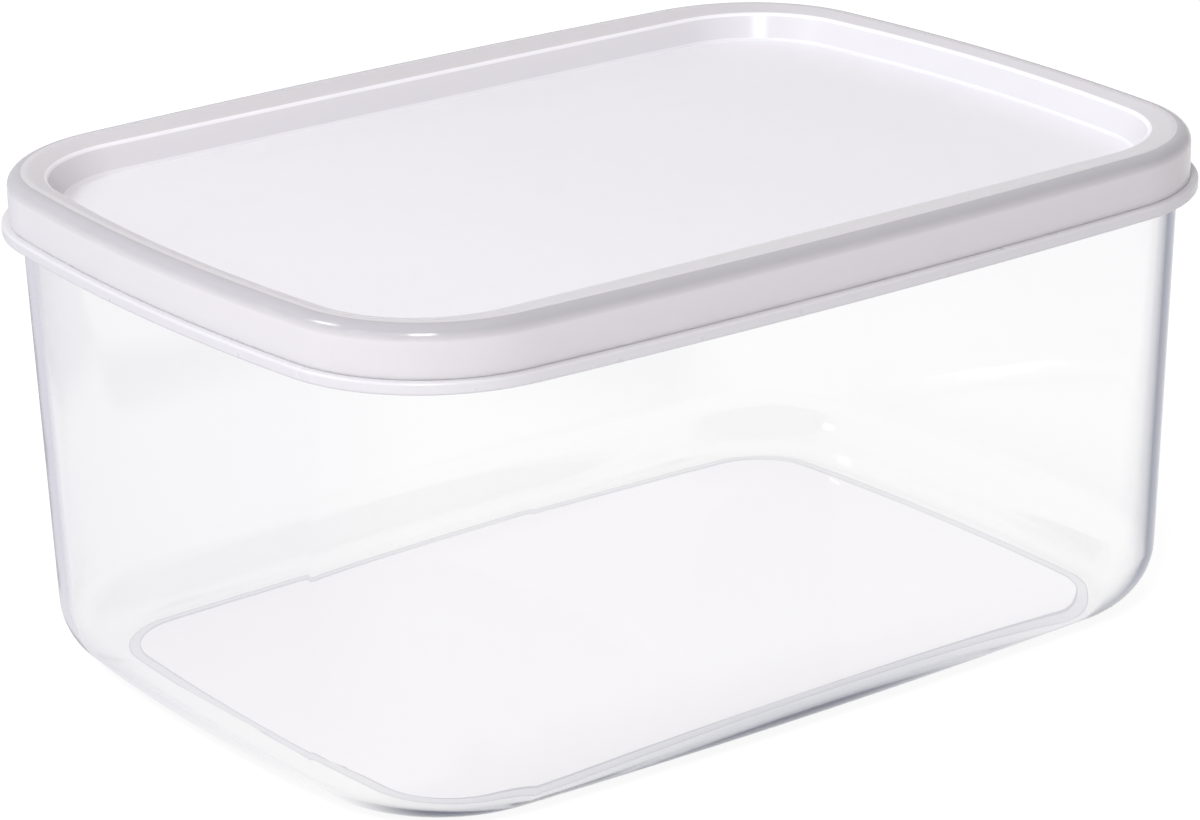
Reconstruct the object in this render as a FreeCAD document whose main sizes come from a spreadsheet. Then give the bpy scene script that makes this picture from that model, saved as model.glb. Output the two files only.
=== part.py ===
import FreeCAD, Part
import math
import os

import PartDesign
import Sketcher

# Rectangular food storage container: a clear tub with a press-on milky lid, closed and empty.
# Millimetres, +Z up, +X along the long side. The origin is the middle of the plane the tub stands on.
# Every outline in plan is a bowed rectangle: four long side arcs, each tangent to the corner arcs.

SIZES = {
    # Mouth outline: the rim of the tub's flange, and everything parallel to it further in.
    "mouth_half_length": 125.0,
    "mouth_half_width": 93.2,
    "mouth_corner": 39.5,
    "mouth_short_turn": 12.0,
    "mouth_long_turn": 5.8,
    # Foot outline: where the outer wall would meet the table if its edge were sharp.
    # It turns as the mouth does, so the walls between the two are cones without creases.
    "foot_half_length": 119.8,
    "foot_half_width": 84.9,
    "foot_corner": 38.7,
    "foot_short_turn": 12.0,
    "foot_long_turn": 5.8,
    # Base panel: the shallow recess under the floor, inside the ring that the tub stands on.
    "panel_half_length": 99.5,
    "panel_half_width": 66.0,
    "panel_corner": 16.8,
    "panel_short_turn": 7.2,
    "panel_long_turn": 5.6,
    "riser_width": 2.4,
    "riser_height": 0.4,
    # Recess outline: the inner edge of the lid's raised rim.
    "recess_half_length": 115.3,
    "recess_half_width": 78.8,
    "recess_corner": 28.1,
    "recess_short_turn": 14.4,
    "recess_long_turn": 1.2,
    # Tub: walls, floor and flange.
    "wall": 1.8,
    "floor": 1.5,
    "wall_inset": 4.2,
    "rim_top": 114.7,
    "bottom_fillet": 15.2,
    "inner_fillet": 13.6,
    "flange_bottom": 102.6,
    "flange_depth": 2.6,
    "flange_rounding": 0.6,
    "rim_rounding": 0.5,
    # Lid: skirt, rounded crown, slope down to the recess edge, and the recessed middle.
    "skirt_inset": 1.8,
    "skirt_wall": 1.4,
    "skirt_bottom": 105.4,
    "skirt_rounding": 0.4,
    "lid_top": 116.6,
    "lid_fillet": 3.2,
    "crown_inset": 6.4,
    "recess_edge": 115.5,
    "recess_slope": 3.3,
    "recess_floor": 109.3,
    "recess_fillet": 1.2,
    "lid_wall": 1.4,
}
SHEET = "Sizes"
XY_PLANE = "XY_Plane"
START, END, MIDDLE = 1, 2, 3
ORIGIN, AXIS_X, AXIS_Y = -1, -1, -2
FINE = 1e-4


def size_sheet(doc):
    """Put every driving size in a spreadsheet cell with its name as alias."""
    sheet = doc.addObject("Spreadsheet::Sheet", SHEET)
    for row, (alias, value) in enumerate(SIZES.items(), start=1):
        sheet.set(f"A{row}", alias)
        sheet.set(f"B{row}", str(value))
        sheet.setAlias(f"B{row}", alias)
    doc.recompute()


def family(name, inset="0"):
    """Expressions for a bowed rectangle parallel to a named outline, inset towards its middle."""
    cell = f"{SHEET}.{name}_"
    return {
        "length": f"{cell}half_length - ({inset})",
        "width": f"{cell}half_width - ({inset})",
        "corner": f"{cell}corner - ({inset})",
        "short_turn": f"{cell}short_turn",
        "long_turn": f"{cell}long_turn",
    }


def value_of(expression):
    """Number that an expression of sheet cells stands for."""
    for alias in sorted(SIZES, key=len, reverse=True):
        expression = expression.replace(f"{SHEET}.{alias}", repr(SIZES[alias]))
    return FreeCAD.Units.Quantity(expression).Value


def side_radii(length, width, corner, short_turn, long_turn):
    """Radii of the short and long side arcs that turn by the given angles and touch the corners."""
    short_half = math.radians(short_turn / 2)
    long_half = math.radians(long_turn / 2)
    across = width + corner * (math.sin(short_half) - math.cos(long_half))
    along = length + corner * (math.sin(long_half) - math.cos(short_half))
    short_rise = 1 - math.cos(short_half)
    long_rise = 1 - math.cos(long_half)
    scale = math.sin(short_half) * math.sin(long_half) - short_rise * long_rise
    short_radius = (across * math.sin(long_half) - along * long_rise) / scale
    long_radius = (along * math.sin(short_half) - across * short_rise) / scale
    return short_radius, long_radius


def arc(across, along, radius, start, end):
    """Circular arc in the sketch plane, anticlockwise between two angles."""
    circle = Part.Circle(FreeCAD.Vector(across, along, 0), FreeCAD.Vector(0, 0, 1), radius)
    return Part.ArcOfCircle(circle, start, end)


def eight_arcs(length, width, corner, short_turn, long_turn):
    """The outline's arcs, anticlockwise from the side that crosses the +X axis."""
    short_radius, long_radius = side_radii(length, width, corner, short_turn, long_turn)
    low = math.radians(short_turn / 2)
    high = math.radians(90 - long_turn / 2)
    half, full = math.pi, 2 * math.pi
    short_x = length - short_radius
    long_y = width - long_radius
    corner_x = short_x + (short_radius - corner) * math.cos(low)
    corner_y = (short_radius - corner) * math.sin(low)
    return [
        arc(short_x, 0, short_radius, -low, low),
        arc(corner_x, corner_y, corner, low, high),
        arc(0, long_y, long_radius, high, half - high),
        arc(-corner_x, corner_y, corner, half - high, half - low),
        arc(-short_x, 0, short_radius, half - low, half + low),
        arc(-corner_x, -corner_y, corner, half + low, half + high),
        arc(0, -long_y, long_radius, half + high, full - high),
        arc(corner_x, -corner_y, corner, full - high, full - low),
    ]


def outline(body, name, sizes, height):
    """Sketch a bowed rectangle at a height, fully constrained by sheet expressions."""
    sketch = body.newObject("Sketcher::SketchObject", name)
    plane = next(item for item in body.Origin.OriginFeatures if item.Role == XY_PLANE)
    sketch.AttachmentSupport = [(plane, "")]
    sketch.MapMode = "FlatFace"
    sketch.setExpression(".AttachmentOffset.Base.z", height)
    guess = {key: value_of(text) for key, text in sizes.items()}
    arcs = eight_arcs(**guess)
    sketch.addGeometry(arcs, False)
    rule = Sketcher.Constraint
    for index in range(len(arcs)):
        following = (index + 1) % len(arcs)
        sketch.addConstraint(rule("Tangent", index, END, following, START))
    for index, axis in ((0, AXIS_X), (2, AXIS_Y), (4, AXIS_X), (6, AXIS_Y)):
        sketch.addConstraint(rule("PointOnObject", index, MIDDLE, axis))
    for index, twin in ((4, 0), (6, 2), (3, 1), (5, 1), (7, 1)):
        sketch.addConstraint(rule("Equal", index, twin))
    number = sketch.addConstraint(rule("Radius", 1, guess["corner"]))
    sketch.setExpression(f"Constraints[{number}]", sizes["corner"])
    for index, turn in ((0, "short_turn"), (2, "long_turn")):
        number = sketch.addConstraint(rule("Angle", index, math.radians(guess[turn])))
        sketch.setExpression(f"Constraints[{number}]", f"{sizes[turn]} * 1 deg")
    reaches = ((0, 1, 0, "length"), (2, 0, 1, "width"), (4, -1, 0, "length"), (6, 0, -1, "width"))
    for index, east, north, reach in reaches:
        apex = FreeCAD.Vector(east, north, 0) * guess[reach]
        point = sketch.addGeometry(Part.Point(apex), True)
        kind, axis = ("DistanceX", AXIS_X) if east else ("DistanceY", AXIS_Y)
        ends = ((ORIGIN, START), (point, START))
        if east + north < 0:
            ends = ends[::-1]
        sketch.addConstraint(rule("PointOnObject", point, START, index))
        sketch.addConstraint(rule("PointOnObject", point, START, axis))
        number = sketch.addConstraint(rule(kind, *ends[0], *ends[1], guess[reach]))
        sketch.setExpression(f"Constraints[{number}]", sizes[reach])
    return sketch


def loft(body, kind, name, *sections):
    """Straight-sided loft through outlines, added to or cut from the body."""
    feature = body.newObject(f"PartDesign::{kind}", name)
    feature.Profile = sections[0]
    feature.Sections = list(sections[1:])
    feature.Ruled = True
    body.Document.recompute()
    return feature


def extrude(body, kind, name, sketch, depth, reverse=False):
    """Pad upward or pocket downward by a depth, or the other way when reversed."""
    feature = body.newObject(f"PartDesign::{kind}", name)
    feature.Profile = sketch
    feature.setExpression("Length", depth)
    feature.Reversed = reverse
    body.Document.recompute()
    return feature


def round_edges(body, name, height, radius):
    """Fillet every edge of the body that lies level at a height."""
    base = body.Tip
    level = value_of(height)
    names = []
    for number, edge in enumerate(base.Shape.Edges, start=1):
        box = edge.BoundBox
        if abs(box.ZMin - level) < FINE and abs(box.ZMax - level) < FINE:
            names.append(f"Edge{number}")
    feature = body.newObject("PartDesign::Fillet", name)
    feature.Base = (base, names)
    feature.setExpression("Radius", f"{SHEET}.{radius}")
    body.Document.recompute()
    return feature


def cavity(doc):
    """Inside of the tub as a solid of its own, so that its bottom edge is rounded before the cut."""
    body = doc.addObject("PartDesign::Body", "cavity")
    inside_line = f"{SHEET}.wall_inset + {SHEET}.wall"
    opening = outline(body, "opening_outline", family("mouth", inside_line), f"{SHEET}.rim_top")
    floor = outline(body, "floor_outline", family("foot", f"{SHEET}.wall"), f"{SHEET}.floor")
    loft(body, "AdditiveLoft", "inner_walls", opening, floor)
    round_edges(body, "inner_bottom_edge", f"{SHEET}.floor", "inner_fillet")
    return body


def tub(doc):
    """Clear tub: drafted walls, rounded bottom edge, recessed underside and a flange under the rim."""
    inside = cavity(doc)
    body = doc.addObject("PartDesign::Body", "tub")
    wall_line = f"{SHEET}.wall_inset"
    riser = f"-{SHEET}.riser_width"
    rim = f"{SHEET}.rim_top"
    under = f"{SHEET}.flange_bottom"
    over = f"{SHEET}.flange_bottom + {SHEET}.flange_depth"
    mouth = outline(body, "mouth_outline", family("mouth", wall_line), rim)
    foot = outline(body, "foot_outline", family("foot"), "0")
    loft(body, "AdditiveLoft", "outer_walls", mouth, foot)
    round_edges(body, "bottom_edge", "0", "bottom_fillet")
    flange = outline(body, "flange_outline", family("mouth"), under)
    extrude(body, "Pad", "flange", flange, f"{SHEET}.flange_depth")
    round_edges(body, "flange_upper_edges", over, "flange_rounding")
    round_edges(body, "flange_lower_edges", under, "flange_rounding")
    hollow = body.newObject("PartDesign::Boolean", "inside")
    hollow.Type = "Cut"
    hollow.setObjects([inside])
    doc.recompute()
    round_edges(body, "rim_edges", rim, "rim_rounding")
    head = outline(body, "riser_head", family("panel"), f"{SHEET}.riser_height")
    foot_line = outline(body, "riser_foot", family("panel", riser), "0")
    loft(body, "SubtractiveLoft", "recess_under_panel", head, foot_line)
    return body


def lid(doc):
    """Milky lid: a skirt round the tub's rim, a rounded crown and a recessed flat middle."""
    body = doc.addObject("PartDesign::Body", "lid")
    skirt_line = f"{SHEET}.skirt_inset"
    inner_line = f"{SHEET}.skirt_inset + {SHEET}.skirt_wall"
    slope = f"{SHEET}.recess_slope"
    plug_top = f"-{SHEET}.lid_wall"
    plug_end = f"{SHEET}.recess_slope - {SHEET}.lid_wall"
    bottom = f"{SHEET}.skirt_bottom"
    rim = f"{SHEET}.rim_top"
    panel_under = f"{SHEET}.recess_floor - {SHEET}.lid_wall"
    skirt = outline(body, "skirt_outline", family("mouth", skirt_line), bottom)
    extrude(body, "Pad", "skirt_block", skirt, f"{SHEET}.lid_top - {bottom}")
    round_edges(body, "crown_edge", f"{SHEET}.lid_top", "lid_fillet")
    hollow = outline(body, "hollow_outline", family("mouth", inner_line), bottom)
    extrude(body, "Pocket", "hollow", hollow, f"{rim} - {bottom}", reverse=True)
    round_edges(body, "skirt_edges", bottom, "skirt_rounding")
    plug_high = outline(body, "plug_top_outline", family("recess", plug_top), rim)
    plug_low = outline(body, "plug_end_outline", family("recess", plug_end), panel_under)
    loft(body, "AdditiveLoft", "plug", plug_high, plug_low)
    edge = outline(body, "recess_outline", family("recess"), f"{SHEET}.recess_edge")
    panel = outline(body, "panel_outline", family("recess", slope), f"{SHEET}.recess_floor")
    crown = outline(body, "crown_outline", family("mouth", f"{SHEET}.crown_inset"), f"{SHEET}.lid_top")
    loft(body, "SubtractiveLoft", "recess", edge, panel)
    round_edges(body, "recess_floor_edge", f"{SHEET}.recess_floor", "recess_fillet")
    loft(body, "SubtractiveLoft", "crown_slope", crown, edge)
    return body


def check(doc, nodes):
    """Stop if any feature failed or a node is not one valid solid."""
    for item in doc.Objects:
        if {"Invalid", "Error"} & set(item.State):
            raise RuntimeError(f"{item.Name} failed: {item.State}")
    for node in nodes:
        shape = node.Shape
        if shape.isNull() or not shape.isValid() or len(shape.Solids) != 1:
            raise RuntimeError(f"{node.Label} is not one valid solid")


document = FreeCAD.newDocument("container")
size_sheet(document)
parts = [tub(document), lid(document)]
document.recompute()
check(document, parts)
os.makedirs("parts", exist_ok=True)
for part in parts:
    part.Shape.exportStep(f"parts/{part.Label}.step")
    print(part.Label, part.Shape.BoundBox, round(part.Shape.Volume))
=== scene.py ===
import math

import bpy
import numpy as np
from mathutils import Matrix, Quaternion, Vector


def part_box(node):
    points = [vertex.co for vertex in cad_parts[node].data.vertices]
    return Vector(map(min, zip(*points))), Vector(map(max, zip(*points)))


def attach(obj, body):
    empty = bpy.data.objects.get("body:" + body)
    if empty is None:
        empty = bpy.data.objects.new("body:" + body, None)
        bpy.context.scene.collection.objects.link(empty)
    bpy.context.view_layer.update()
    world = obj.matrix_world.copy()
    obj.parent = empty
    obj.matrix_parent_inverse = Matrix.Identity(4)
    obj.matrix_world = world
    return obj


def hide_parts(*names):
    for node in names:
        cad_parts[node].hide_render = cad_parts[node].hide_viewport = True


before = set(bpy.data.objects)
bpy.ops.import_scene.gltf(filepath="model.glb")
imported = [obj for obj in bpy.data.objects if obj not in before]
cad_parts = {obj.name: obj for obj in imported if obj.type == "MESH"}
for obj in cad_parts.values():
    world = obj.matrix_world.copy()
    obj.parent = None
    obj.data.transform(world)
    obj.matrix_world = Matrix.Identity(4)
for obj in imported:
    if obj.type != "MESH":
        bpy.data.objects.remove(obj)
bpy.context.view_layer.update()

# THE TUB
# One injection-moulded shell of clear plastic: drafted walls, a generously rounded bottom edge, a shallow
# recess under the floor inside the ring it stands on, and a thin flange round it just below the lid.
# It is one closed profile, carried round outlines that are bowed rectangles with rounded corners.

ARC_STEPS = (20, 44) * 4
SEAM_STEP = 0.00012
WALL = 0.0018
RISER_HEIGHT, RISER_WIDTH = 0.0004, 0.0024
FOOT_IN_AT_ENDS, FOOT_IN_AT_SIDES = 0.0052, 0.0083

tub_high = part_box("tub")[1]
flange = dict(half_length=tub_high.x, half_width=tub_high.y, corner=0.0395,
              short_turn=12.0, long_turn=5.8)
foot = dict(flange, half_length=tub_high.x - FOOT_IN_AT_ENDS,
            half_width=tub_high.y - FOOT_IN_AT_SIDES, corner=0.0387)
inner_foot = dict(foot, inset=WALL)
base_panel = dict(half_length=0.0995, half_width=0.066, corner=0.0168,
                  short_turn=7.2, long_turn=5.6)
riser_foot = dict(base_panel, inset=-RISER_WIDTH)


def bowed_outline(half_length, half_width, corner, short_turn, long_turn, inset=0.0):
    """Eight tangent arcs: each point is its arc's centre plus its radius times the unit direction.

    The side radii follow from the two half sizes, the corner radius and how far each side arc turns,
    in degrees. An inset moves every point inwards along its direction: a parallel outline.
    """
    low, lean = np.radians(short_turn / 2), np.radians(long_turn / 2)
    across = half_width + corner * (np.sin(low) - np.cos(lean))
    along = half_length + corner * (np.sin(lean) - np.cos(low))
    scale = np.sin(low) * np.sin(lean) - (1 - np.cos(low)) * (1 - np.cos(lean))
    short_radius = (across * np.sin(lean) - along * (1 - np.cos(lean))) / scale
    long_radius = (along * np.sin(low) - across * (1 - np.cos(low))) / scale
    short_x = half_length - short_radius
    long_y = half_width - long_radius
    corner_x = short_x + (short_radius - corner) * np.cos(low)
    corner_y = (short_radius - corner) * np.sin(low)
    centres = np.array([(short_x, 0), (corner_x, corner_y), (0, long_y), (-corner_x, corner_y),
                        (-short_x, 0), (-corner_x, -corner_y), (0, -long_y), (corner_x, -corner_y)])
    radii = np.tile([short_radius, corner, long_radius, corner], 2)
    quarter = np.array([-low, low, np.pi / 2 - lean, np.pi / 2 + lean])
    starts = np.append(np.concatenate([quarter, quarter + np.pi]), 2 * np.pi - low)
    which = np.repeat(np.arange(8), ARC_STEPS)
    part = np.concatenate([np.arange(steps) / steps for steps in ARC_STEPS])
    angle = starts[which] + part * (starts[which + 1] - starts[which])
    direction = np.stack([np.cos(angle), np.sin(angle)], axis=1)
    return centres[which] + (radii[which] - inset)[:, None] * direction


def at_height(flat_points, height):
    """The same outline as points in space at one height."""
    return np.column_stack([flat_points, np.full(len(flat_points), height)])


def ring(shape, height):
    """A bowed outline of one shape as points in space at one height."""
    return at_height(bowed_outline(**shape), height)


def unit(vectors):
    """Vectors divided by their own lengths."""
    return vectors / np.linalg.norm(vectors, axis=-1, keepdims=True)


def rounded(before, point, after, radius, steps):
    """Circular arc that replaces a profile corner, for every station of the outline at once.

    Its centre lies on the bisector of the two legs, and its points turn evenly from one tangent point
    to the other. One more point on each leg, a hair away, keeps the flats beside it flat in shading.
    """
    back, onward = unit(before - point), unit(after - point)
    opening = np.arccos(np.clip((back * onward).sum(1), -1, 1))[:, None]
    reach = radius / np.tan(opening / 2)
    centre = point + unit(back + onward) * radius / np.sin(opening / 2)
    first, last = unit(point + back * reach - centre), unit(point + onward * reach - centre)
    turn = np.pi - opening
    arc = []
    for share in np.linspace(0, 1, steps + 1):
        swing = np.sin(turn * (1 - share)) * first + np.sin(turn * share) * last
        arc.append(centre + radius * swing / np.sin(turn))
    return [point + back * (reach + SEAM_STEP)] + arc + [point + onward * (reach + SEAM_STEP)]


def profile_rings(corners):
    """Rings of a profile and a tone for each ring.

    Each corner is (outline, radius, arc steps, tone of the bend, tone of the flat after it), where the
    bend's tone is one value or one for each of its rings. The ends of the profile stay as they are,
    and the ring a hair beside each bend has the tone of its flat.
    """
    rings, tones = [corners[0][0]], [corners[0][4]]
    for previous, (point, radius, steps, bend_tone, next_tone), following in zip(
            corners, corners[1:], corners[2:]):
        rings += rounded(previous[0], point, following[0], radius, steps)
        tones += [previous[4]] + list(np.broadcast_to(bend_tone, steps + 1)) + [next_tone]
    return np.array(rings + [corners[-1][0]]), np.array(tones + [corners[-1][4]])


def shell(name, rings, tones):
    """Closed mesh from rings that run from pole to pole: a grid of quads with a fan at each pole.

    The tone of every ring is kept on its points as the attribute "tone".
    """
    inner = rings[1:-1]
    levels, stations = inner.shape[:2]
    poles = np.array([rings[0].mean(0), rings[-1].mean(0)])
    points = np.concatenate([inner.reshape(-1, 3), poles])
    index = np.arange(levels * stations).reshape(levels, stations)
    ahead = np.roll(index, -1, axis=1)
    quads = np.stack([index[:-1], ahead[:-1], ahead[1:], index[1:]], axis=-1).reshape(-1, 4)
    bottom = np.stack([np.full(stations, len(points) - 2), ahead[0], index[0]], axis=-1)
    top = np.stack([np.full(stations, len(points) - 1), index[-1], ahead[-1]], axis=-1)
    mesh = bpy.data.meshes.new(name)
    mesh.from_pydata(points.tolist(), [], bottom.tolist() + quads.tolist() + top.tolist())
    mesh.polygons.foreach_set("use_smooth", np.ones(len(mesh.polygons), bool))
    point_tones = np.append(np.repeat(tones[1:-1], stations), [tones[0], tones[-1]])
    mesh.attributes.new("tone", "FLOAT", "POINT").data.foreach_set("value", point_tones)
    mesh.update()
    piece = bpy.data.objects.new(name, mesh)
    bpy.context.scene.collection.objects.link(piece)
    return piece


RIM_TOP = tub_high.z
FLOOR_TOP = 0.0015
FLANGE_WIDTH = 0.0042
FLANGE_BELOW_RIM = 0.0121
SKIRT_GAP = 0.00004
FLANGE_LOW = RIM_TOP - FLANGE_BELOW_RIM
FLANGE_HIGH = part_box("lid")[0].z - SKIRT_GAP
BOTTOM_ROUNDING, INNER_BOTTOM_ROUNDING = 0.0152, 0.0136
RISER_ROUNDING = 0.0008
FLANGE_ROUNDING, UNDER_FLANGE, OVER_FLANGE = 0.0006, 0.0005, 0.0004
RIM_ROUNDING = 0.0005


def wall(height, inset):
    """Outline on the drafted wall: a straight blend from the foot to the rim, with the height."""
    share = height / RIM_TOP
    low_end = bowed_outline(**foot, inset=inset)
    high_end = bowed_outline(**flange, inset=FLANGE_WIDTH + inset)
    return at_height(low_end + share * (high_end - low_end), height)


def middle(height):
    """Every station on the axis at one height, where a profile begins or ends."""
    return at_height(np.zeros((sum(ARC_STEPS), 2)), height)


# Tones of the tub: they choose the plastic of each face and shift its colour and haze. The flange's tone
# and the riser's hazy and edge tones are painted shade: they grey the flange and the riser's band and
# creases in place of the grey and dark lines that the clear plastic shows by bending light.
CLEAR, TINTED, FROSTED_AND_SHADED, HAZY_AND_SHADED, EDGE = 0.0, 0.5, 0.6, 0.72, 1.0

tub_profile = [
    (middle(RISER_HEIGHT), 0, 0, TINTED, TINTED),
    (ring(base_panel, RISER_HEIGHT), RISER_ROUNDING, 4, EDGE, HAZY_AND_SHADED),
    (ring(riser_foot, 0), RISER_ROUNDING, 4, EDGE, CLEAR),
    (ring(foot, 0), BOTTOM_ROUNDING, 28, CLEAR, CLEAR),
    (wall(FLANGE_LOW, 0), UNDER_FLANGE, 4, FROSTED_AND_SHADED, FROSTED_AND_SHADED),
    (ring(flange, FLANGE_LOW), FLANGE_ROUNDING, 6, FROSTED_AND_SHADED, FROSTED_AND_SHADED),
    (ring(flange, FLANGE_HIGH), FLANGE_ROUNDING, 6, FROSTED_AND_SHADED, FROSTED_AND_SHADED),
    (wall(FLANGE_HIGH, 0), OVER_FLANGE, 4, FROSTED_AND_SHADED, CLEAR),
    (wall(RIM_TOP, 0), RIM_ROUNDING, 5, CLEAR, CLEAR),
    (wall(RIM_TOP, WALL), RIM_ROUNDING, 5, CLEAR, CLEAR),
    (ring(inner_foot, FLOOR_TOP), INNER_BOTTOM_ROUNDING, 28, CLEAR, CLEAR),
    (middle(FLOOR_TOP), 0, 0, CLEAR, CLEAR),
]
tub = shell("clear_tub", *profile_rings(tub_profile))


def fed(tree, node, sources):
    """The node, with each named or numbered input linked to a socket or set to a value."""
    for place, source in sources.items():
        if isinstance(source, bpy.types.NodeSocket):
            tree.links.new(source, node.inputs[place])
        else:
            node.inputs[place].default_value = source
    return node


def worked_out(tree, operation, *values):
    """Result of a Math node, such as MULTIPLY_ADD: the first value times the second plus the third."""
    node = tree.nodes.new("ShaderNodeMath")
    node.operation = operation
    return fed(tree, node, dict(enumerate(values))).outputs[0]


def rise(tree, value, low, high, curve="LINEAR"):
    """Share that goes from 0 at the low value to 1 at the high one, straight or smooth."""
    node = tree.nodes.new("ShaderNodeMapRange")
    node.interpolation_type = curve
    return fed(tree, node, {"Value": value, "From Min": low, "From Max": high}).outputs[0]


def mixed(tree, share, first, second):
    """The first colour where the share is 0, the second where it is 1, and a blend between."""
    node = tree.nodes.new("ShaderNodeMix")
    node.data_type = "RGBA"
    return fed(tree, node, {0: share, 6: first, 7: second}).outputs[2]


CLOUD_SCALE, RIPPLE_SCALE, POLISH_SCALE = 14.0, 70.0, 160.0


def moulded_plastic_group():
    """Effect that all the plastics share: colour by tone, cloudy flow marks, uneven polish, fine ripple.

    Colour is a mix of three colours by the tone, times a slow noise close to one; the deep colour is
    painted shade. Roughness is the polish plus a finer noise times its spread, plus the deep haze as
    the tone rises from a half to one. Ripple is a noise height for a Bump node.
    """
    group = bpy.data.node_groups.new("moulded_plastic", "ShaderNodeTree")
    for name, direction, kind in (
            ("Tone", "INPUT", "Float"), ("Plain Colour", "INPUT", "Color"),
            ("Middle Colour", "INPUT", "Color"), ("Deep Colour", "INPUT", "Color"),
            ("Cloud", "INPUT", "Float"), ("Polish", "INPUT", "Float"),
            ("Polish Spread", "INPUT", "Float"), ("Deep Haze", "INPUT", "Float"),
            ("Colour", "OUTPUT", "Color"), ("Roughness", "OUTPUT", "Float"),
            ("Ripple", "OUTPUT", "Float")):
        group.interface.new_socket(name, in_out=direction, socket_type="NodeSocket" + kind)
    given = group.nodes.new("NodeGroupInput").outputs
    where = group.nodes.new("ShaderNodeTexCoord").outputs["Object"]

    def noise(scale):
        texture = group.nodes.new("ShaderNodeTexNoise")
        return fed(group, texture, {"Vector": where, "Scale": scale, "Detail": 1.0}).outputs["Fac"]

    to_middle = rise(group, given["Tone"], 0.0, 0.5)
    to_deep = rise(group, given["Tone"], 0.5, 1.0)
    toned = mixed(group, to_middle, given["Plain Colour"], given["Middle Colour"])
    toned = mixed(group, to_deep, toned, given["Deep Colour"])
    cloud = worked_out(group, "SUBTRACT", noise(CLOUD_SCALE), 0.5)
    clouded = group.nodes.new("ShaderNodeVectorMath")
    clouded.operation = "SCALE"
    fed(group, clouded, {0: toned, "Scale": worked_out(group, "MULTIPLY_ADD", cloud, given["Cloud"], 1.0)})
    rough = worked_out(group, "MULTIPLY_ADD", noise(POLISH_SCALE), given["Polish Spread"], given["Polish"])
    rough = worked_out(group, "MULTIPLY_ADD", to_deep, given["Deep Haze"], rough)
    fed(group, group.nodes.new("NodeGroupOutput"), {
        "Colour": clouded.outputs[0], "Roughness": rough, "Ripple": noise(RIPPLE_SCALE)})
    return group


moulded_plastic = moulded_plastic_group()
RIPPLE_STRENGTH = 0.3


def plastic_material(name, look, body, ripple):
    """Material from the shared group: its colour and roughness by the tone attribute, its fine ripple.

    Look holds the group's values, and body the values of the shader that don't change over the surface.
    """
    material = bpy.data.materials.new(name)
    material.use_nodes = True
    tree = material.node_tree
    effect = tree.nodes.new("ShaderNodeGroup")
    effect.node_tree = moulded_plastic
    tone = tree.nodes.new("ShaderNodeAttribute")
    tone.attribute_name = "tone"
    fed(tree, effect, {**look, "Tone": tone.outputs["Fac"]})
    bump = fed(tree, tree.nodes.new("ShaderNodeBump"), {
        "Strength": RIPPLE_STRENGTH, "Distance": ripple, "Height": effect.outputs["Ripple"]})
    fed(tree, tree.nodes["Principled BSDF"], {
        **body, "Base Color": effect.outputs["Colour"], "Roughness": effect.outputs["Roughness"],
        "Normal": bump.outputs["Normal"]})
    return material


TUB_RIPPLE = 0.00004
STIFF_PLASTIC_IOR, ETCHED_IOR = 1.5, 1.12
TINT_PER_METRE = 1.5

# Its deep colour greys the clear faces beside the riser's creases: painted shade.
tub_plastic = plastic_material("clear_plastic", {
    "Plain Colour": (0.995, 0.993, 0.996, 1),
    "Middle Colour": (1.0, 0.965, 1.0, 1),
    "Deep Colour": (0.8, 0.8, 0.84, 1),
    "Cloud": 0.01,
    "Polish": 0.008,
    "Polish Spread": 0.02,
    "Deep Haze": 0.6,
}, {"Transmission Weight": 1.0, "IOR": STIFF_PLASTIC_IOR}, TUB_RIPPLE)
tree = tub_plastic.node_tree
tint = fed(tree, tree.nodes.new("ShaderNodeVolumeAbsorption"), {
    "Color": (0.5, 0.48, 0.62, 1), "Density": TINT_PER_METRE})
fed(tree, tree.nodes["Material Output"], {"Volume": tint.outputs["Volume"]})
tub.data.materials.append(tub_plastic)

# The flange is a grey, opaque copy of the clear plastic that scatters light, so that it reads as a light
# band under the lid: its grey is painted shade in place of what the clear flange shows by bending light.
tub.data.materials.append(plastic_material("satin_shaded_plastic", {
    "Middle Colour": (0.62, 0.613, 0.64, 1),
    "Deep Colour": (0.6, 0.6, 0.64, 1),
    "Cloud": 0.02,
    "Polish": 0.25,
    "Polish Spread": 0.08,
}, {"IOR": STIFF_PLASTIC_IOR}, TUB_RIPPLE))

# The low riser round the base panel bends light only a little, and its band and creases are painted a soft
# grey and a darker grey: painted shade in place of the dark lines that the clear step throws.
tub.data.materials.append(plastic_material("etched_shaded_plastic", {
    "Middle Colour": (0.9, 0.9, 0.93, 1),
    "Deep Colour": (0.4, 0.4, 0.46, 1),
    "Cloud": 0.02,
    "Polish": 0.1,
    "Polish Spread": 0.05,
    "Deep Haze": 0.3,
}, {"Transmission Weight": 1.0, "IOR": ETCHED_IOR}, TUB_RIPPLE))

# Each face takes its plastic from the lowest tone on its corners: clear, then the satin with painted
# shade, then the etched with painted shade.
tones = np.empty(len(tub.data.vertices), "f")
tub.data.attributes["tone"].data.foreach_get("value", tones)
vertices = np.empty(len(tub.data.loops), int)
tub.data.loops.foreach_get("vertex_index", vertices)
starts = np.empty(len(tub.data.polygons), int)
tub.data.polygons.foreach_get("loop_start", starts)
least = np.minimum.reduceat(tones[vertices], starts)
on_flange = least > (TINTED + FROSTED_AND_SHADED) / 2
on_riser = least > (FROSTED_AND_SHADED + HAZY_AND_SHADED) / 2
tub.data.polygons.foreach_set("material_index", on_flange.astype(int) + on_riser)
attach(tub, "root")
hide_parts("tub")

# THE LID
# A press-on lid of softer, milky plastic: a skirt round the tub's rim, a rounded crown, a slope down to
# the recess edge and a flat middle that sinks into the tub. Its underside rests on the rim all round.

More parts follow.
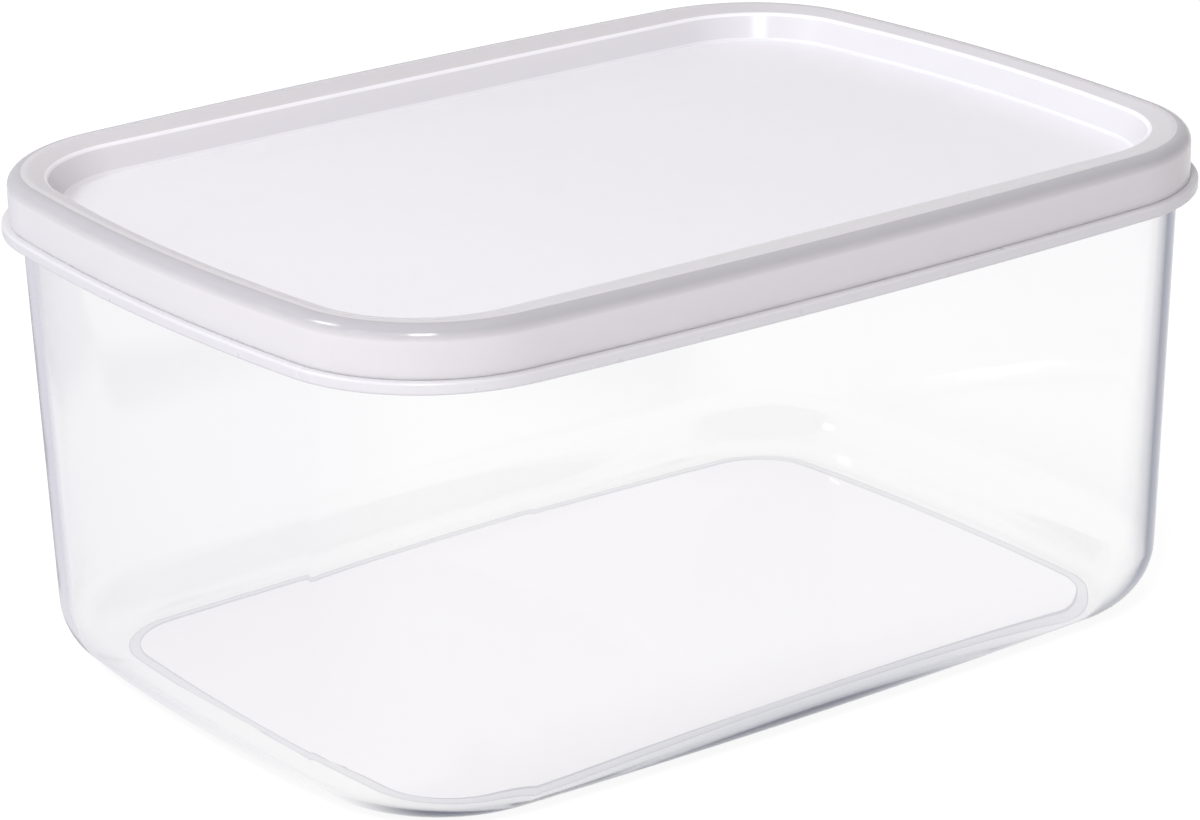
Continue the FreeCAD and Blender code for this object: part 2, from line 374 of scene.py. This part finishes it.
lid_low, lid_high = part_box("lid")
LID_WALL = 0.0014
RIM_GAP = 0.00005
RIM_SEAT = RIM_TOP + RIM_GAP
RECESS_DEPTH, RECESS_EDGE_DROP, RECESS_SLOPE = 0.0073, 0.0011, 0.0033
RECESS_FLOOR = lid_high.z - RECESS_DEPTH
CROWN_WIDTH = 0.0064
CROWN_ROUNDING, CROWN_SLOPE_ROUNDING, RECESS_ROUNDING = 0.0032, 0.002, 0.0012
PLUG_ROUNDING, PLUG_ROOT, SKIRT_ROOT = 0.001, 0.0006, 0.0008
SKIRT_INNER_EDGE, SKIRT_OUTER_EDGE = 0.0002, 0.00012

skirt = dict(flange, inset=tub_high.x - lid_high.x)
skirt_inside = dict(flange, inset=skirt["inset"] + LID_WALL)
crown = dict(flange, inset=CROWN_WIDTH)
recess = dict(half_length=0.1153, half_width=0.0788, corner=0.0281,
              short_turn=14.4, long_turn=1.2)
recess_foot = dict(recess, inset=RECESS_SLOPE)
plug = dict(recess, inset=-LID_WALL)
plug_foot = dict(recess, inset=RECESS_SLOPE - LID_WALL)

# Tones of the lid are painted shade: the higher the tone, the darker its colour, for the shade where the
# lid is doubled over the tub's rim and bent round the crown, and for the darker skirt, slope and recess
# wall. The crown's bend rises from the skirt's.
PALE, INNER, SKIRT, SLOPE, CROWN = 0.0, 0.3, 0.42, 0.5, 1.0
CROWN_STEPS = 14
crown_tones = np.interp(np.linspace(0, 1, CROWN_STEPS + 1),
                        (0, 0.12, 0.4, 1), (SKIRT, 0.7, CROWN, CROWN))

lid_profile = [
    (middle(RECESS_FLOOR - LID_WALL), 0, 0, PALE, PALE),
    (ring(plug_foot, RECESS_FLOOR - LID_WALL), PLUG_ROUNDING, 6, PALE, PALE),
    (ring(plug, RIM_SEAT), PLUG_ROOT, 5, PALE, PALE),
    (ring(skirt_inside, RIM_SEAT), SKIRT_ROOT, 5, PALE, PALE),
    (ring(skirt_inside, lid_low.z), SKIRT_INNER_EDGE, 3, PALE, PALE),
    (ring(skirt, lid_low.z), SKIRT_OUTER_EDGE, 3, SKIRT, SKIRT),
    (ring(skirt, lid_high.z), CROWN_ROUNDING, CROWN_STEPS, crown_tones, SLOPE),
    (ring(crown, lid_high.z), CROWN_SLOPE_ROUNDING, 3, SLOPE, SLOPE),
    # The recess edge's bend takes the pale tone between the darker slope and wall: a painted highlight
    # line.
    (ring(recess, lid_high.z - RECESS_EDGE_DROP), RECESS_ROUNDING, 8, PALE, INNER),
    (ring(recess_foot, RECESS_FLOOR), RECESS_ROUNDING, 8, PALE, PALE),
    (middle(RECESS_FLOOR), 0, 0, PALE, PALE),
]
lid = shell("milky_lid", *profile_rings(lid_profile))

LID_RIPPLE = 0.0001
SOFT_PLASTIC_IOR = 1.45
SCATTER_DEPTH = 0.002

# Its middle and deep colours are painted shade, darker copies of the milky colour that the tones lay on
# the lid.
lid.data.materials.append(plastic_material("milky_plastic", {
    "Plain Colour": (0.805, 0.802, 0.84, 1),
    "Middle Colour": (0.62, 0.605, 0.63, 1),
    "Deep Colour": (0.44, 0.434, 0.46, 1),
    "Cloud": 0.03,
    "Polish": 0.14,
    "Polish Spread": 0.08,
}, {
    "IOR": SOFT_PLASTIC_IOR,
    "Subsurface Weight": 1.0,
    "Subsurface Radius": (1.0, 1.0, 1.0),
    "Subsurface Scale": SCATTER_DEPTH,
}, LID_RIPPLE))
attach(lid, "root")
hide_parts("lid")

# THE TABLE AND THE STUDIO
# A wide white table in soft light that is brighter from the left, with three small soft lamps on that
# side. By itself it looks plain white, but grey and dark patches are painted on it that only mirrored
# and bent rays see: painted reflections of a darker room on the left and right, and painted contact
# shadows along the tub's front foot, seen through the plastic.

TABLE_REACH, TABLE_TOP = 8.0, -0.0001
table_mesh = bpy.data.meshes.new("table")
table_mesh.from_pydata([(TABLE_REACH * across, TABLE_REACH * along, TABLE_TOP)
                        for across, along in ((-1, -1), (1, -1), (1, 1), (-1, 1))], [], [(0, 1, 2, 3)])
table = bpy.data.objects.new("table", table_mesh)
bpy.context.scene.collection.objects.link(table)

table_white = bpy.data.materials.new("table_white")
table_white.use_nodes = True
tree = table_white.node_tree
path = tree.nodes.new("ShaderNodeLightPath").outputs
position = tree.nodes.new("ShaderNodeNewGeometry").outputs["Position"]
on_table = fed(tree, tree.nodes.new("ShaderNodeSeparateXYZ"), {0: position}).outputs


def product(first, *others):
    """The values multiplied together, two at a time."""
    for value in others:
        first = worked_out(tree, "MULTIPLY", first, value)
    return first


def beyond(value, low, high):
    """Soft edge of a patch: 0 up to the low value and 1 past the high one, in metres on the table."""
    return rise(tree, value, low, high, "SMOOTHSTEP")


x, y = on_table["X"], on_table["Y"]
aslant = worked_out(tree, "ADD", product(x, -0.6), product(y, 0.8))
mirrored = worked_out(tree, "GREATER_THAN", path["Glossy Depth"], 0.5)
refracted = worked_out(tree, "GREATER_THAN", path["Transmission Depth"], 0.5)
both = product(mirrored, refracted)

# Patches painted on the table that only mirrored and bent rays see: the left and right ones are painted
# reflections of a darker room, and the edge and front ones are painted contact shadows along the tub's
# front foot, seen through the plastic.
left_reflected_shade = product(beyond(aslant, -0.02, 0.2), mirrored)
edge_contact_shadow = product(beyond(y, -0.1, -0.09), beyond(y, -0.062, -0.075), beyond(x, -0.125, -0.09), refracted)
right_reflected_shade = product(beyond(x, 0.06, 0.12), beyond(y, -0.11, -0.06), both)
front_contact_shadow = product(beyond(y, -0.13, -0.1), beyond(y, -0.04, -0.07),
                    beyond(x, -0.125, -0.1), beyond(x, 0.12, 0.0), both)
shown = mixed(tree, left_reflected_shade, (1, 1, 1, 1), (0.7, 0.69, 0.76, 1))
shown = mixed(tree, edge_contact_shadow, shown, (0.66, 0.67, 0.73, 1))
shown = mixed(tree, right_reflected_shade, shown, (0.2, 0.21, 0.29, 1))
shown = mixed(tree, front_contact_shadow, shown, (0.03, 0.035, 0.09, 1))

# Seen directly, the table is mostly its own white and partly the lit surface, which takes the soft
# shadow. Light that it throws back on the object comes from the lit surface alone.
CAMERA_LIFT, LIT_SHARE = 0.16, 0.2
glow = worked_out(tree, "ADD", product(path["Is Camera Ray"], CAMERA_LIFT), 1.0)
seen = fed(tree, tree.nodes.new("ShaderNodeEmission"), {"Color": shown, "Strength": glow})
lit = fed(tree, tree.nodes["Principled BSDF"], {
    "Base Color": (0.85, 0.85, 0.85, 1), "Roughness": 0.7, "Specular IOR Level": 0.0})
share = worked_out(tree, "MAXIMUM", path["Is Diffuse Ray"], product(path["Is Camera Ray"], LIT_SHARE))
choose = fed(tree, tree.nodes.new("ShaderNodeMixShader"), {
    0: share, 1: seen.outputs[0], 2: lit.outputs[0]})
fed(tree, tree.nodes["Material Output"], {"Surface": choose.outputs[0]})
table_mesh.materials.append(table_white)

# The room's light, bright on the left and dim on the right. Mirrored and bent rays see it plain.
BRIGHT_UP_TO, DIM_FROM = -0.1, 0.65
studio = bpy.data.worlds.new("studio")
bpy.context.scene.world = studio
studio.use_nodes = True
tree = studio.node_tree
heading = tree.nodes.new("ShaderNodeTexCoord").outputs["Generated"]
heading = fed(tree, tree.nodes.new("ShaderNodeSeparateXYZ"), {0: heading}).outputs["X"]
sky = mixed(tree, rise(tree, heading, BRIGHT_UP_TO, DIM_FROM, "SMOOTHSTEP"),
            (0.85, 0.855, 0.88, 1), (0.21, 0.16, 0.155, 1))
soft = fed(tree, tree.nodes["Background"], {"Color": sky})
plain = tree.nodes.new("ShaderNodeBackground")
path = tree.nodes.new("ShaderNodeLightPath").outputs
choose = fed(tree, tree.nodes.new("ShaderNodeMixShader"), {
    0: path["Is Diffuse Ray"], 1: plain.outputs[0], 2: soft.outputs[0]})
fed(tree, tree.nodes["World Output"], {"Surface": choose.outputs[0]})


def soft_lamp(name, direction, distance, size, watts, colour):
    """Square area lamp in a direction from the object, at a distance from it and facing it."""
    lamp_data = bpy.data.lights.new(name, "AREA")
    lamp_data.size = size
    lamp_data.energy = watts
    lamp_data.color = colour
    lamp = bpy.data.objects.new(name, lamp_data)
    lamp.location = Vector(direction).normalized() * distance
    lamp.rotation_euler = Vector(direction).to_track_quat("Z", "Y").to_euler()
    bpy.context.scene.collection.objects.link(lamp)


soft_lamp("overhead_lamp", direction=(-0.6, 0.35, 0.72), distance=1.3,
          size=0.2, watts=3.0, colour=(1.0, 1.0, 1.0))
soft_lamp("front_lamp", direction=(-0.46, -0.45, 0.55), distance=1.5,
          size=0.25, watts=9.6, colour=(1.0, 0.97, 0.965))
soft_lamp("corner_lamp", direction=(-0.80, -0.05, 0.60), distance=1.3,
          size=0.08, watts=0.7, colour=(1.0, 1.0, 1.0))

# THE CAMERA
# A long lens a metre away, looking down on the corner between the long and the short side.

AIM = Vector((-0.0028, -0.0004, 0.0530))
AZIMUTH, ELEVATION, ROLL = math.radians(-36.43), math.radians(19.69), math.radians(-1.31)
DISTANCE = 1.037
camera_data = bpy.data.cameras.new("camera")
camera_data.lens = 133.94
camera_data.sensor_width = 36.0
camera_data.clip_end = 100
camera = bpy.data.objects.new("camera", camera_data)
bpy.context.scene.collection.objects.link(camera)
towards_camera = Vector((math.sin(AZIMUTH) * math.cos(ELEVATION),
                         -math.cos(AZIMUTH) * math.cos(ELEVATION), math.sin(ELEVATION)))
camera.location = AIM + towards_camera * DISTANCE
camera.rotation_mode = "QUATERNION"
camera.rotation_quaternion = Quaternion(towards_camera, ROLL) @ (-towards_camera).to_track_quat("-Z", "Y")
bpy.context.scene.camera = camera

bpy.context.scene.view_settings.view_transform = "Standard"
BOUNCES = 10
light_paths = bpy.context.scene.cycles
light_paths.max_bounces = BOUNCES
light_paths.glossy_bounces = BOUNCES
light_paths.transmission_bounces = BOUNCES
light_paths.caustics_reflective = False
light_paths.caustics_refractive = False
